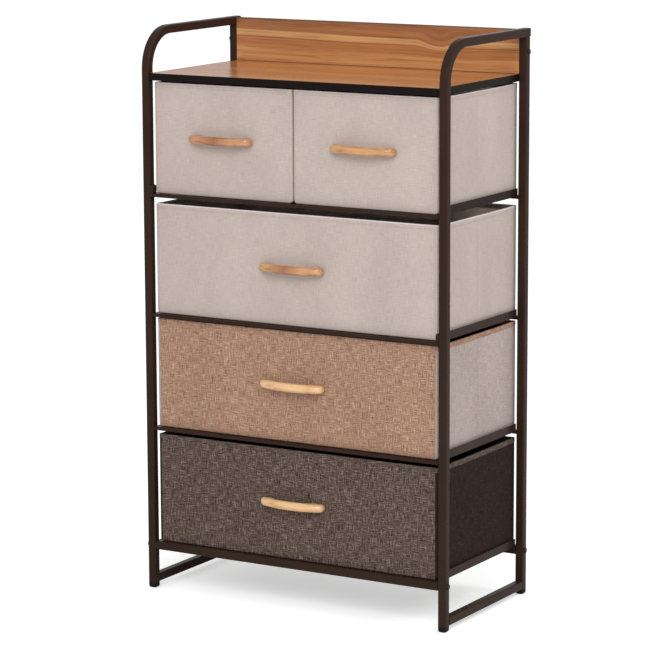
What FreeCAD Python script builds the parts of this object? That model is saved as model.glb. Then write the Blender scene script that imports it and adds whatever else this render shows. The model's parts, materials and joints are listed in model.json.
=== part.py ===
import FreeCAD, Part
import Sketcher
import math
import os

# A tall, narrow dresser: a steel tube frame with a shelf and a backboard on top, and five fabric
# drawers in four rows that slide on light crossbars. Millimetres, +Z up, front towards -Y. The
# origin is on the floor, under the middle of the box that holds the frame and the handles.

DRIVING_SIZES = {
    # The frame as a whole
    "overall_width": 600,
    "overall_depth": 300,
    "leg_gap": 71.5,            # floor to the underside of the lowest crossbars
    "arm_rise": 78.5,           # shelf top to the top of the arms
    "foot_height": 9.5,
    # Steel tube of the posts, arms, floor rails and lowest crossbars
    "tube_size": 15,
    "tube_wall": 1,
    "tube_corner": 2.5,
    "bend_radius": 72,          # outside of the bend from post to arm
    # Flat crossbars and the runners behind them
    "bar_depth": 15,
    "bar_height": 6,
    "bar_corner": 2,
    "runner_foot": 30,          # the flat part that a drawer's side slides on
    "runner_rise": 13,          # the upright part beside a drawer, above the crossbars
    "runner_wall": 1.2,
    "runner_lead_in": 20,       # front crossbar to the start of the upright part
    "runner_corner": 6,
    "middle_runner_width": 40,
    "middle_runner_height": 10,
    "bracket_rise": 15,
    "bracket_depth": 12,
    "bracket_corner": 4,
    # Shelf, backboard and what holds them
    "angle_height": 12.5,
    "angle_foot": 12.5,
    "angle_wall": 1.2,
    "backboard_thickness": 12.5,
    "backboard_drop": 2,        # arm tops to the backboard's top
    "backboard_edge": 0.6,
    # Caps and fasteners
    "plug_length": 14,
    "plug_clearance": 0.2,
    "plug_corner": 1.5,
    "foot_rounding": 4,
    "arm_cap_thickness": 1,
    "insert_length": 16,
    "bolt_diameter": 6,
    "bolt_head_diameter": 10,
    "bolt_head_height": 2.6,
    "bolt_head_rounding": 1.5,
    "bolt_reach": 12,           # into the insert
    "hole_clearance": 0.2,      # a screw hole over its screw
    "fitting_gap": 0.5,
    "board_screw_diameter": 4,
    "board_screw_reach": 22,    # into the backboard
    # Drawers
    "drawer_height": 193,
    "drawer_setback": 9,        # frame front to drawer front
    "drawer_back_gap": 7,
    "drawer_side_gap": 6,
    "drawer_middle_gap": 3,
    "drawer_wall": 3,
    "drawer_corner": 6,
    "drawer_edge": 1.5,
    "running_gap": 0.3,
    "headroom_top_row": 3.7,
    "headroom_second_row": 11.7,
    "headroom_third_row": 3.2,
    "headroom_bottom_row": 7.7,
    "front_board_thickness": 4,
    "base_board_thickness": 3,
    "front_board_drop": 2,      # drawer top to the front board's top
    # Handles
    "handle_length": 126,
    "handle_lift": 3,           # a drawer's mid-height to its handle's
    "handle_foot": 24,
    "handle_projection": 26,
    "handle_thickness": 11,
    "handle_height": 15,
    "handle_end": 9,
    "handle_rounding": 4,
    "handle_hole_spacing": 96,
    "handle_screw_diameter": 4,
    "handle_screw_reach": 9,
    "handle_screw_head_diameter": 8,
    "handle_screw_head_height": 2.2,
    "handle_screw_head_rounding": 1.3,
}

document = FreeCAD.newDocument("fabric_drawer_dresser")
sheet = document.addObject("Spreadsheet::Sheet", "Size")
for row, (alias, size) in enumerate(DRIVING_SIZES.items(), start=1):
    sheet.set(f"A{row}", alias)
    sheet.set(f"B{row}", str(size))
    sheet.setAlias(f"B{row}", alias)
document.recompute()

# Places that several pieces share, as expressions on the sheet.
HALF_TUBE = "(Size.tube_size / 2)"
INNER_X = "(Size.overall_width / 2 - Size.tube_size)"
INNER_WIDTH = "(Size.overall_width - 2 * Size.tube_size)"
POST_X = "(Size.overall_width / 2 - Size.tube_size / 2)"
HANDLE_REACH = "(Size.handle_projection - Size.drawer_setback)"
FRONT_Y = f"(({HANDLE_REACH} - Size.overall_depth) / 2)"
POST_DEPTH = "(Size.overall_depth - Size.arm_cap_thickness)"
BACK_Y = f"({FRONT_Y} + {POST_DEPTH})"
FRONT_POST_Y = f"({FRONT_Y} + {HALF_TUBE})"
BACK_POST_Y = f"({BACK_Y} - {HALF_TUBE})"

ROWS = ("top_row", "second_row", "third_row", "bottom_row")
SUPPORT_Z = {"bottom_row": "(Size.leg_gap + Size.tube_size)"}
for upper, lower in (("third_row", "bottom_row"), ("second_row", "third_row"), ("top_row", "second_row")):
    under_bar = f"{SUPPORT_Z[lower]} + Size.running_gap + Size.drawer_height + Size.headroom_{lower}"
    SUPPORT_Z[upper] = f"({under_bar} + Size.bar_height)"
SHELF_UNDERSIDE = (
    f"({SUPPORT_Z['top_row']} + Size.running_gap + Size.drawer_height + Size.headroom_top_row)"
)
SHELF_TOP = f"({SHELF_UNDERSIDE} + Size.angle_height)"
OVERALL_HEIGHT = f"({SHELF_TOP} + Size.arm_rise)"

WIDE_DRAWER = f"({INNER_WIDTH} - 2 * Size.drawer_side_gap)"
HALF_DRAWER = f"(({WIDE_DRAWER} - Size.drawer_middle_gap) / 2)"
HALF_DRAWER_X = f"(({HALF_DRAWER} + Size.drawer_middle_gap) / 2)"
DRAWER_DEPTH = f"({POST_DEPTH} - Size.drawer_setback - Size.drawer_back_gap)"
DRAWER_FRONT_Y = f"({FRONT_Y} + Size.drawer_setback)"

INSIDE_CORNER = "(Size.drawer_corner - Size.drawer_wall)"
HANDLE_RISE = "(Size.drawer_height / 2 + Size.handle_lift)"

LOW_BOLT_Z = f"(Size.leg_gap + {HALF_TUBE})"
LOW_BOLT_ABOVE_FOOT = f"({LOW_BOLT_Z} - Size.foot_height)"
BACKBOARD_HEIGHT = "(Size.arm_rise - Size.backboard_drop)"
BOARD_SCREW_Z = f"({SHELF_TOP} + {BACKBOARD_HEIGHT} / 2)"
BOLT_HOLE = "(Size.bolt_diameter + Size.hole_clearance)"
BOARD_SCREW_HOLE = "(Size.board_screw_diameter + Size.hole_clearance)"
HANDLE_SCREW_HOLE = "(Size.handle_screw_diameter + Size.hole_clearance)"
PLUG_SIZE = "(Size.tube_size - 2 * Size.tube_wall - 2 * Size.plug_clearance)"

# Tube sections: width, height and outer corner.
SQUARE_TUBE = ("Size.tube_size", "Size.tube_size", "Size.tube_corner")
FLAT_BAR = ("Size.bar_depth", "Size.bar_height", "Size.bar_corner")
MIDDLE_TUBE = ("Size.middle_runner_width", "Size.middle_runner_height", "Size.tube_corner")

# Fasteners: shank diameter, reach under the head, then the head's diameter, height and rounding.
BOLT_HEAD = ("Size.bolt_head_diameter", "Size.bolt_head_height", "Size.bolt_head_rounding")
FRAME_BOLT = ("Size.bolt_diameter", "(Size.tube_size + Size.bolt_reach)", *BOLT_HEAD)
BOARD_SCREW_REACH = "(Size.tube_size + Size.board_screw_reach - Size.fitting_gap)"
BOARD_SCREW = ("Size.board_screw_diameter", BOARD_SCREW_REACH, *BOLT_HEAD)
DRAWER_FRONT_THICKNESS = "(Size.drawer_wall + Size.front_board_thickness)"
HANDLE_SCREW = (
    "Size.handle_screw_diameter",
    f"({DRAWER_FRONT_THICKNESS} + Size.handle_screw_reach)",
    "Size.handle_screw_head_diameter",
    "Size.handle_screw_head_height",
    "Size.handle_screw_head_rounding",
)

TOLERANCE = 0.05  # how near an edge's middle lies to the place where it's looked for
ORIGIN = FreeCAD.Vector(0, 0, 0)
UPRIGHT = FreeCAD.Vector(0, 0, 1)
ACROSS = FreeCAD.Vector(1, 0, 0)
INTO = FreeCAD.Vector(0, 1, 0)

finished = {}


def value(expression):
    """The present value of an expression on the sheet."""
    return float(sheet.evalExpression(expression))


def new_body(label, place=("0", "0", "0"), turn=0, axis=UPRIGHT):
    """A body turned by a fixed angle, with its origin at a place given by three expressions."""
    body = document.addObject("PartDesign::Body", label)
    body.Label = label
    body.Placement = FreeCAD.Placement(ORIGIN, FreeCAD.Rotation(axis, turn))
    for coordinate, expression in zip("xyz", place):
        body.setExpression(f"Placement.Base.{coordinate}", expression)
    return body


def new_sketch(body, name, plane, offset=None, rise=None):
    """A sketch on one of the body's own origin planes, or moved along its normal and upwards."""
    sketch = body.newObject("Sketcher::SketchObject", f"{body.Name}_{name}")
    support = next(feature for feature in body.Origin.OriginFeatures if feature.Role == plane)
    sketch.AttachmentSupport = [(support, "")]
    sketch.MapMode = "FlatFace"
    if offset:
        sketch.setExpression("AttachmentOffset.Base.z", offset)
    if rise:
        sketch.setExpression("AttachmentOffset.Base.y", rise)
    return sketch


def line(sketch, start, end):
    ends = [FreeCAD.Vector(x, y, 0) for x, y in (start, end)]
    return sketch.addGeometry(Part.LineSegment(*ends), False)


def arc(sketch, centre, radius, start_degrees, end_degrees):
    circle = Part.Circle(FreeCAD.Vector(centre[0], centre[1], 0), UPRIGHT, radius)
    arc_of_circle = Part.ArcOfCircle(circle, math.radians(start_degrees), math.radians(end_degrees))
    return sketch.addGeometry(arc_of_circle, False)


def bind(sketch, constraint, expression):
    """Add a dimension whose value comes from the sheet."""
    kind, *targets = constraint
    index = sketch.addConstraint(Sketcher.Constraint(kind, *targets, value(expression)))
    sketch.setExpression(f"Constraints[{index}]", expression)


def constrain(sketch, *constraints):
    for arguments in constraints:
        sketch.addConstraint(Sketcher.Constraint(*arguments))


def draw_rectangle(sketch, width, height):
    """A rectangle from the sketch's origin towards +x and +y."""
    wide, high = value(width), value(height)
    corners = [(0, 0), (wide, 0), (wide, high), (0, high)]
    sides = [line(sketch, corners[n], corners[(n + 1) % 4]) for n in range(4)]
    for n, side in enumerate(sides):
        constrain(sketch, ("Coincident", side, 2, sides[(n + 1) % 4], 1))
        constrain(sketch, ("Vertical" if n % 2 else "Horizontal", side))
    constrain(sketch, ("Coincident", sides[0], 1, -1, 1))
    bind(sketch, ("DistanceX", sides[0], 1, sides[0], 2), width)
    bind(sketch, ("DistanceY", sides[1], 1, sides[1], 2), height)


def draw_rounded_rectangle(sketch, width, height, radius):
    """A rectangle with four round corners, centred on the sketch's origin."""
    x, y, r = value(width) / 2, value(height) / 2, value(radius)
    bottom = line(sketch, (-x + r, -y), (x - r, -y))
    right = line(sketch, (x, -y + r), (x, y - r))
    top = line(sketch, (x - r, y), (-x + r, y))
    left = line(sketch, (-x, y - r), (-x, -y + r))
    corners = [
        arc(sketch, (x - r, -y + r), r, 270, 360),
        arc(sketch, (x - r, y - r), r, 0, 90),
        arc(sketch, (-x + r, y - r), r, 90, 180),
        arc(sketch, (-x + r, -y + r), r, 180, 270),
    ]
    sides = [bottom, right, top, left]
    for n, corner in enumerate(corners):
        constrain(sketch, ("Tangent", sides[n], 2, corner, 1))
        constrain(sketch, ("Tangent", corner, 2, sides[(n + 1) % 4], 1))
    constrain(sketch, ("Horizontal", bottom), ("Horizontal", top), ("Vertical", right), ("Vertical", left))
    for corner in corners[1:]:
        constrain(sketch, ("Equal", corners[0], corner))
    constrain(sketch, ("Symmetric", corners[0], 3, corners[2], 3, -1, 1))
    bind(sketch, ("Radius", corners[0]), radius)
    bind(sketch, ("DistanceX", left, 1, right, 2), width)
    bind(sketch, ("DistanceY", bottom, 1, top, 2), height)


def draw_bin_outline(sketch, width, height, radius):
    """A straight-topped outline with round bottom corners, standing on the sketch's origin."""
    x, top_y, r = value(width) / 2, value(height), value(radius)
    bottom = line(sketch, (-x + r, 0), (x - r, 0))
    right = line(sketch, (x, r), (x, top_y))
    top = line(sketch, (x, top_y), (-x, top_y))
    left = line(sketch, (-x, top_y), (-x, r))
    right_corner = arc(sketch, (x - r, r), r, 270, 360)
    left_corner = arc(sketch, (-x + r, r), r, 180, 270)
    constrain(
        sketch,
        ("Tangent", bottom, 2, right_corner, 1),
        ("Tangent", right_corner, 2, right, 1),
        ("Coincident", right, 2, top, 1),
        ("Coincident", top, 2, left, 1),
        ("Tangent", left, 2, left_corner, 1),
        ("Tangent", left_corner, 2, bottom, 1),
        ("Horizontal", bottom),
        ("Vertical", right),
        ("Vertical", left),
        ("Equal", right_corner, left_corner),
        ("Symmetric", top, 1, top, 2, -2),
        ("PointOnObject", bottom, 1, -1),
    )
    bind(sketch, ("Radius", right_corner), radius)
    bind(sketch, ("DistanceX", top, 2, top, 1), width)
    bind(sketch, ("DistanceY", -1, 1, top, 1), height)


def draw_circle(sketch, diameter, x=None, y=None, leftwards=False):
    """A circle at the sketch's origin, or at distances to one side of it and above it."""
    centre_x = value(x) if x else 0
    centre_y = value(y) if y else 0
    centre = FreeCAD.Vector(-centre_x if leftwards else centre_x, centre_y, 0)
    index = sketch.addGeometry(Part.Circle(centre, UPRIGHT, value(diameter) / 2), False)
    bind(sketch, ("Diameter", index), diameter)
    if x:
        ends = (index, 3, -1, 1) if leftwards else (-1, 1, index, 3)
        bind(sketch, ("DistanceX", *ends), x)
    else:
        constrain(sketch, ("PointOnObject", index, 3, -2))
    if y:
        bind(sketch, ("DistanceY", -1, 1, index, 3), y)
    else:
        constrain(sketch, ("PointOnObject", index, 3, -1))


def draw_tube_section(sketch, width, height, corner):
    """The hollow section of a tube, with its outer corners rounded."""
    draw_rounded_rectangle(sketch, width, height, corner)
    draw_rounded_rectangle(
        sketch,
        f"({width} - 2 * Size.tube_wall)",
        f"({height} - 2 * Size.tube_wall)",
        f"({corner} - Size.tube_wall)",
    )


def draw_angle_section(sketch, foot, height, wall, leftwards=False):
    """An L section with its heel on the sketch's origin and its foot to one side."""
    wide, high, thick = value(foot), value(height), value(wall)
    sign, start, end = (-1, 2, 1) if leftwards else (1, 1, 2)
    outline = [(0, 0), (wide, 0), (wide, thick), (thick, thick), (thick, high), (0, high)]
    corners = [(sign * x, y) for x, y in outline]
    sides = [line(sketch, corners[n], corners[(n + 1) % 6]) for n in range(6)]
    for n, side in enumerate(sides):
        constrain(sketch, ("Coincident", side, 2, sides[(n + 1) % 6], 1))
        constrain(sketch, ("Vertical" if n % 2 else "Horizontal", side))
    constrain(sketch, ("Coincident", sides[0], 1, -1, 1))
    bind(sketch, ("DistanceX", sides[0], start, sides[0], end), foot)
    bind(sketch, ("DistanceY", sides[1], 1, sides[1], 2), wall)
    bind(sketch, ("DistanceX", sides[4], end, sides[4], start), wall)
    bind(sketch, ("DistanceY", sides[5], 2, sides[5], 1), height)


def pad(body, sketch, length, backwards=False, both_ways=False):
    feature = body.newObject("PartDesign::Pad", f"{sketch.Name}_pad")
    feature.Profile = sketch
    feature.setExpression("Length", length)
    feature.Reversed = backwards
    if both_ways:
        feature.SideType = "Symmetric"
    return feature


def pocket(body, sketch, length=None, backwards=False):
    """Cut to a depth, or right through the body on both sides of the sketch."""
    document.recompute()
    before = body.Shape.Volume
    feature = body.newObject("PartDesign::Pocket", f"{sketch.Name}_pocket")
    feature.Profile = sketch
    feature.Reversed = backwards
    if length:
        feature.setExpression("Length", length)
    else:
        feature.Type = "ThroughAll"
        feature.SideType = "Symmetric"
    document.recompute()
    if body.Shape.Volume >= before:
        raise RuntimeError(f"{feature.Name} cut nothing from {body.Label}")
    return feature


def round_edges(body, base, chosen, radius, kind="Fillet"):
    """Fillet or chamfer the edges of a feature that the given test chooses."""
    document.recompute()
    names = [f"Edge{n}" for n, edge in enumerate(base.Shape.Edges, start=1) if chosen(edge)]
    feature = body.newObject(f"PartDesign::{kind}", f"{base.Name}_{kind.lower()}")
    feature.Base = (base, names)
    feature.setExpression("Radius" if kind == "Fillet" else "Size", radius)
    return feature


def finish(node, pieces):
    """Name a finished piece, or several like pieces that share one node."""
    if len(pieces) == 1:
        finished[node] = pieces[0]
        return
    group = document.addObject("Part::Compound", node)
    group.Label = node
    group.Links = pieces
    finished[node] = group


def straight_tube(label, direction, section, length, place):
    """A hollow tube from a place, at the middle of its section, along +X, +Y or +Z."""
    plane = {"x": "YZ_Plane", "y": "XZ_Plane", "z": "XY_Plane"}[direction]
    body = new_body(label, place)
    sketch = new_sketch(body, "section", plane)
    draw_tube_section(sketch, *section)
    pad(body, sketch, length, backwards=(direction == "y"))
    return body


def drill_sideways(body, name, height, diameter):
    """A hole along X through a post, at a height above the post's lower end."""
    sketch = new_sketch(body, name, "YZ_Plane")
    draw_circle(sketch, diameter, y=height)
    pocket(body, sketch)


def front_post(side, sign):
    """The post that bends back at the top and runs on as the arm, as one tube."""
    body = new_body(f"{side}_front_post", (f"{sign} * {POST_X}", FRONT_POST_Y, "Size.foot_height"))
    bend = f"(Size.bend_radius - {HALF_TUBE})"
    straight = f"({OVERALL_HEIGHT} - Size.foot_height - Size.bend_radius)"
    arm = f"({POST_DEPTH} - Size.bend_radius)"
    rise, radius, reach = value(straight), value(bend), value(arm)
    path = new_sketch(body, "path", "YZ_Plane")
    upright = line(path, (0, 0), (0, rise))
    corner = arc(path, (radius, rise), radius, 90, 180)
    level = line(path, (radius, rise + radius), (radius + reach, rise + radius))
    constrain(
        path,
        ("Coincident", upright, 1, -1, 1),
        ("Vertical", upright),
        ("Tangent", upright, 2, corner, 2),
        ("Tangent", corner, 1, level, 1),
        ("Horizontal", level),
    )
    bind(path, ("DistanceY", upright, 1, upright, 2), straight)
    bind(path, ("Radius", corner), bend)
    bind(path, ("DistanceX", level, 1, level, 2), arm)
    section = new_sketch(body, "section", "XY_Plane")
    draw_tube_section(section, *SQUARE_TUBE)
    document.recompute()
    tube = body.newObject("PartDesign::AdditivePipe", f"{body.Name}_tube")
    tube.Profile = section
    tube.Spine = (path, ["Edge1", "Edge2", "Edge3"])
    drill_sideways(body, "bolt_hole", LOW_BOLT_ABOVE_FOOT, BOLT_HOLE)
    finish(body.Label, [body])


def back_post(side, sign):
    """The straight post under the back end of the arm."""
    height = f"({OVERALL_HEIGHT} - Size.tube_size - Size.foot_height)"
    place = (f"{sign} * {POST_X}", BACK_POST_Y, "Size.foot_height")
    body = straight_tube(f"{side}_back_post", "z", SQUARE_TUBE, height, place)
    drill_sideways(body, "bolt_hole", LOW_BOLT_ABOVE_FOOT, BOLT_HOLE)
    above_foot = f"({BOARD_SCREW_Z} - Size.foot_height)"
    drill_sideways(body, "board_screw_hole", above_foot, BOARD_SCREW_HOLE)
    finish(body.Label, [body])


def floor_rail(side, sign):
    """The low rail that joins a front post to a back post."""
    place = (f"{sign} * {POST_X}", f"({FRONT_Y} + Size.tube_size)", f"(Size.foot_height + {HALF_TUBE})")
    length = f"({POST_DEPTH} - 2 * Size.tube_size)"
    body = straight_tube(f"{side}_floor_rail", "y", SQUARE_TUBE, length, place)
    finish(body.Label, [body])


def crossbar(row, end):
    """A crossbar between two posts: thick in the bottom row, flat in the rows above."""
    section = SQUARE_TUBE if row == "bottom_row" else FLAT_BAR
    depth, height = section[:2]
    middle_y = f"({FRONT_Y} + {depth} / 2)" if end == "front" else f"({BACK_Y} - {depth} / 2)"
    place = (f"-{INNER_X}", middle_y, f"({SUPPORT_Z[row]} - {height} / 2)")
    body = straight_tube(f"{row}_{end}_bar", "x", section, INNER_WIDTH, place)
    finish(body.Label, [body])


def between_crossbars(row):
    """Where a row's runners start, behind the front crossbar, and how long they are."""
    depth = "Size.tube_size" if row == "bottom_row" else "Size.bar_depth"
    return f"({FRONT_Y} + {depth})", f"({POST_DEPTH} - 2 * {depth})"


def side_runner(row, side, sign):
    """An angle beside a row's drawers: a foot level with the crossbars and an upright outside."""
    start, length = between_crossbars(row)
    heel = (f"{sign} * {INNER_X}", start, f"({SUPPORT_Z[row]} - Size.runner_wall)")
    body = new_body(f"{row}_{side}_runner", heel)
    section = new_sketch(body, "section", "XZ_Plane")
    height = "(Size.runner_wall + Size.runner_rise)"
    draw_angle_section(section, "Size.runner_foot", height, "Size.runner_wall", leftwards=(sign > 0))
    pad(body, section, length, backwards=True)
    # The upright starts a little behind the front crossbar, with a round corner to lead a drawer in.
    notch = new_sketch(body, "notch", "YZ_Plane", rise="Size.runner_wall")
    draw_rectangle(notch, "Size.runner_lead_in", "Size.runner_rise")
    cut = pocket(body, notch)
    front_y, top_z = value("Size.runner_lead_in"), value(height)

    def is_leading_corner(edge):
        middle = edge.CenterOfMass
        return abs(middle.y - front_y) < TOLERANCE and middle.z > top_z - TOLERANCE

    round_edges(body, cut, is_leading_corner, "Size.runner_corner")
    finish(body.Label, [body])


def middle_runner(row):
    """A flat tube under the inner sides of the two small drawers."""
    start, length = between_crossbars(row)
    place = ("0", start, f"({SUPPORT_Z[row]} - Size.middle_runner_height / 2)")
    body = straight_tube(f"{row}_middle_runner", "y", MIDDLE_TUBE, length, place)
    finish(body.Label, [body])


def board(label, place, width, depth, height, turn=0):
    """A straight-edged board, from one lower corner towards its own +x, +y and +z."""
    body = new_body(label, place, turn)
    sketch = new_sketch(body, "outline", "XY_Plane")
    draw_rectangle(sketch, width, depth)
    pad(body, sketch, height)
    return body


def corner_bracket(row, side):
    """A small upright block on a crossbar's end, beside the post, with its free top edge round."""
    front = f"({FRONT_Y} + Size.fitting_gap)"
    if side == "left":
        place, turn = (f"-{INNER_X}", front, SUPPORT_Z[row]), 0
    else:
        place, turn = (INNER_X, f"({front} + Size.bracket_depth)", SUPPORT_Z[row]), 180
    width = "(Size.drawer_side_gap - 2 * Size.fitting_gap)"
    label = f"{row}_{side}_bracket"
    body = board(label, place, width, "Size.bracket_depth", "Size.bracket_rise", turn)
    free_x, top_z = value(width), value("Size.bracket_rise")

    def is_free_top_edge(edge):
        middle = edge.CenterOfMass
        return middle.x > free_x - TOLERANCE and middle.z > top_z - TOLERANCE

    round_edges(body, body.Tip, is_free_top_edge, "Size.bracket_corner")
    return body


def shelf_angle(name, place, turn, length):
    """One L-shaped rail of the shelf frame: a lip outside and a foot under the board."""
    body = new_body(f"shelf_{name}_rail", place, turn)
    sketch = new_sketch(body, "section", "YZ_Plane")
    draw_angle_section(sketch, "Size.angle_foot", "Size.angle_height", "Size.angle_wall")
    pad(body, sketch, length)
    finish(body.Label, [body])


def shelf():
    """A board that lies in a frame of four angle rails, flush with their lips."""
    side_length = f"({POST_DEPTH} - 2 * Size.angle_foot)"
    shelf_angle("front", (f"-{INNER_X}", FRONT_Y, SHELF_UNDERSIDE), 0, INNER_WIDTH)
    shelf_angle("back", (INNER_X, BACK_Y, SHELF_UNDERSIDE), 180, INNER_WIDTH)
    left_start = (f"-{INNER_X}", f"({BACK_Y} - Size.angle_foot)", SHELF_UNDERSIDE)
    shelf_angle("left", left_start, -90, side_length)
    right_start = (INNER_X, f"({FRONT_Y} + Size.angle_foot)", SHELF_UNDERSIDE)
    shelf_angle("right", right_start, 90, side_length)
    margin = "(Size.angle_wall + Size.fitting_gap)"
    place = (f"(-{INNER_X} + {margin})", f"({FRONT_Y} + {margin})", f"({SHELF_UNDERSIDE} + Size.angle_wall)")
    width = f"({INNER_WIDTH} - 2 * {margin})"
    depth = f"({POST_DEPTH} - 2 * {margin})"
    body = board("shelf_board", place, width, depth, "(Size.angle_height - Size.angle_wall)")
    finish(body.Label, [body])


def back_board():
    """The upstand between the back posts, standing on the shelf."""
    place = (f"-{INNER_X}", f"({BACK_POST_Y} - Size.backboard_thickness / 2)", SHELF_TOP)
    body = board("back_board", place, INNER_WIDTH, "Size.backboard_thickness", BACKBOARD_HEIGHT)
    middle_x, top_z = value(INNER_WIDTH) / 2, value(BACKBOARD_HEIGHT)

    def is_top_long_edge(edge):
        middle = edge.CenterOfMass
        return abs(middle.x - middle_x) < TOLERANCE and middle.z > top_z - TOLERANCE

    round_edges(body, body.Tip, is_top_long_edge, "Size.backboard_edge", "Chamfer")
    for name, plane_x, rightwards in (("left_hole", None, True), ("right_hole", INNER_WIDTH, False)):
        sketch = new_sketch(body, name, "YZ_Plane", plane_x)
        middle_y, middle_z = "Size.backboard_thickness / 2", f"{BACKBOARD_HEIGHT} / 2"
        draw_circle(sketch, BOARD_SCREW_HOLE, middle_y, middle_z)
        pocket(body, sketch, "Size.board_screw_reach", backwards=rightwards)
    finish(body.Label, [body])


def tube_cap(label, place, turn, axis, head_height, rounding=None):
    """A plastic cap whose head closes a tube's end and whose plug grips inside the tube."""
    body = new_body(label, place, turn, axis)
    head_sketch = new_sketch(body, "head", "XY_Plane")
    draw_rounded_rectangle(head_sketch, *SQUARE_TUBE)
    head = pad(body, head_sketch, head_height, backwards=True)
    if rounding:
        depth = value(head_height)
        round_edges(body, head, lambda edge: edge.CenterOfMass.z < TOLERANCE - depth, rounding)
    plug_sketch = new_sketch(body, "plug", "XY_Plane")
    draw_rounded_rectangle(plug_sketch, PLUG_SIZE, PLUG_SIZE, "Size.plug_corner")
    pad(body, plug_sketch, "Size.plug_length")
    return body


def foot_caps():
    feet = []
    for side, sign in (("left", -1), ("right", 1)):
        for end, y in (("front", FRONT_POST_Y), ("back", BACK_POST_Y)):
            place = (f"{sign} * {POST_X}", y, "Size.foot_height")
            cap = tube_cap(f"{side}_{end}_foot", place, 0, UPRIGHT, "Size.foot_height", "Size.foot_rounding")
            feet.append(cap)
    finish("foot_caps", feet)


def arm_caps():
    caps = []
    for side, sign in (("left", -1), ("right", 1)):
        place = (f"{sign} * {POST_X}", BACK_Y, f"({OVERALL_HEIGHT} - {HALF_TUBE})")
        caps.append(tube_cap(f"{side}_arm_cap", place, 90, ACROSS, "Size.arm_cap_thickness"))
    finish("arm_end_caps", caps)


def headed_fastener(label, place, turn, axis, sizes):
    """A screw or bolt: its head stands on the body's origin towards +z, its shank points to -z."""
    diameter, reach, head_diameter, head_height, head_rounding = sizes
    body = new_body(label, place, turn, axis)
    shank = new_sketch(body, "shank", "XY_Plane")
    draw_circle(shank, diameter)
    pad(body, shank, reach, backwards=True)
    head_sketch = new_sketch(body, "head", "XY_Plane")
    draw_circle(head_sketch, head_diameter)
    head = pad(body, head_sketch, head_height)
    top = value(head_height)
    round_edges(body, head, lambda edge: edge.CenterOfMass.z > top - TOLERANCE, head_rounding)
    return body


def sideways_fasteners(node, places, sizes):
    """Like fasteners through the outer faces of the posts, heads outwards."""
    pieces = []
    for end, y, z in places:
        for side, sign in (("left", -1), ("right", 1)):
            place = (f"{sign} * Size.overall_width / 2", y, z)
            pieces.append(headed_fastener(f"{side}_{end}_{node}", place, 90 * sign, INTO, sizes))
    finish(node, pieces)


def threaded_inserts():
    """Square plugs in the ends of the lowest crossbars that take the frame bolts."""
    inserts = []
    for end, y in (("front", FRONT_POST_Y), ("back", BACK_POST_Y)):
        for side, start in (("left", f"-{INNER_X}"), ("right", f"({INNER_X} - Size.insert_length)")):
            body = new_body(f"{side}_{end}_insert", (start, y, LOW_BOLT_Z))
            sketch = new_sketch(body, "section", "YZ_Plane")
            draw_rounded_rectangle(sketch, PLUG_SIZE, PLUG_SIZE, "Size.plug_corner")
            draw_circle(sketch, BOLT_HOLE)
            pad(body, sketch, "Size.insert_length")
            inserts.append(body)
    finish("threaded_inserts", inserts)


def drill_handle_holes(body, depth, height=None):
    """The two holes for the handle's screws, from the face on the body's own XZ plane."""
    for name, leftwards in (("left_hole", True), ("right_hole", False)):
        sketch = new_sketch(body, name, "XZ_Plane")
        draw_circle(sketch, HANDLE_SCREW_HOLE, "Size.handle_hole_spacing / 2", height, leftwards)
        pocket(body, sketch, depth)


def fabric_block(label, place, width, depth):
    """A block in the outline of a drawer's front, from the place towards the back."""
    body = new_body(label, place)
    outline = new_sketch(body, "outline", "XZ_Plane")
    draw_bin_outline(outline, width, "Size.drawer_height", "Size.drawer_corner")
    pad(body, outline, depth, backwards=True)
    return body


def drawer_bin(drawer, place, width):
    """The sewn box, open at the top: a front, a back, and one strip for the sides and the floor."""
    x, y, z = place
    front = fabric_block(f"{drawer}_front_panel", place, width, "Size.drawer_wall")
    top_z = value("Size.drawer_height")

    def is_front_edge(edge):
        middle = edge.CenterOfMass
        return middle.y < TOLERANCE and middle.z < top_z - TOLERANCE

    round_edges(front, front.Tip, is_front_edge, "Size.drawer_edge")
    drill_handle_holes(front, "(2 * Size.drawer_wall)", HANDLE_RISE)
    strip_place = (x, f"({y} + Size.drawer_wall)", z)
    strip_depth = f"({DRAWER_DEPTH} - 2 * Size.drawer_wall)"
    strip = fabric_block(f"{drawer}_side_strip", strip_place, width, strip_depth)
    inside = new_sketch(strip, "inside", "XZ_Plane", rise="Size.drawer_wall")
    draw_bin_outline(inside, f"({width} - 2 * Size.drawer_wall)", "Size.drawer_height", INSIDE_CORNER)
    pocket(strip, inside)
    back_place = (x, f"({y} + {DRAWER_DEPTH} - Size.drawer_wall)", z)
    back = fabric_block(f"{drawer}_back_panel", back_place, width, "Size.drawer_wall")
    finish(f"{drawer}_fabric_bin", [front, strip, back])


def front_stiffener(drawer, place, width):
    """The thin board that keeps the drawer's front flat, against the inside of the front wall."""
    x, y, z = place
    inset = "(Size.drawer_wall + Size.fitting_gap)"
    body = new_body(f"{drawer}_front_board", (x, f"({y} + Size.drawer_wall)", f"({z} + {inset})"))
    outline = new_sketch(body, "outline", "XZ_Plane")
    height = f"(Size.drawer_height - {inset} - Size.front_board_drop)"
    draw_bin_outline(outline, f"({width} - 2 * {inset})", height, INSIDE_CORNER)
    pad(body, outline, "Size.front_board_thickness", backwards=True)
    drill_handle_holes(body, "(2 * Size.front_board_thickness)", f"({HANDLE_RISE} - {inset})")
    finish(body.Label, [body])


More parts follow.
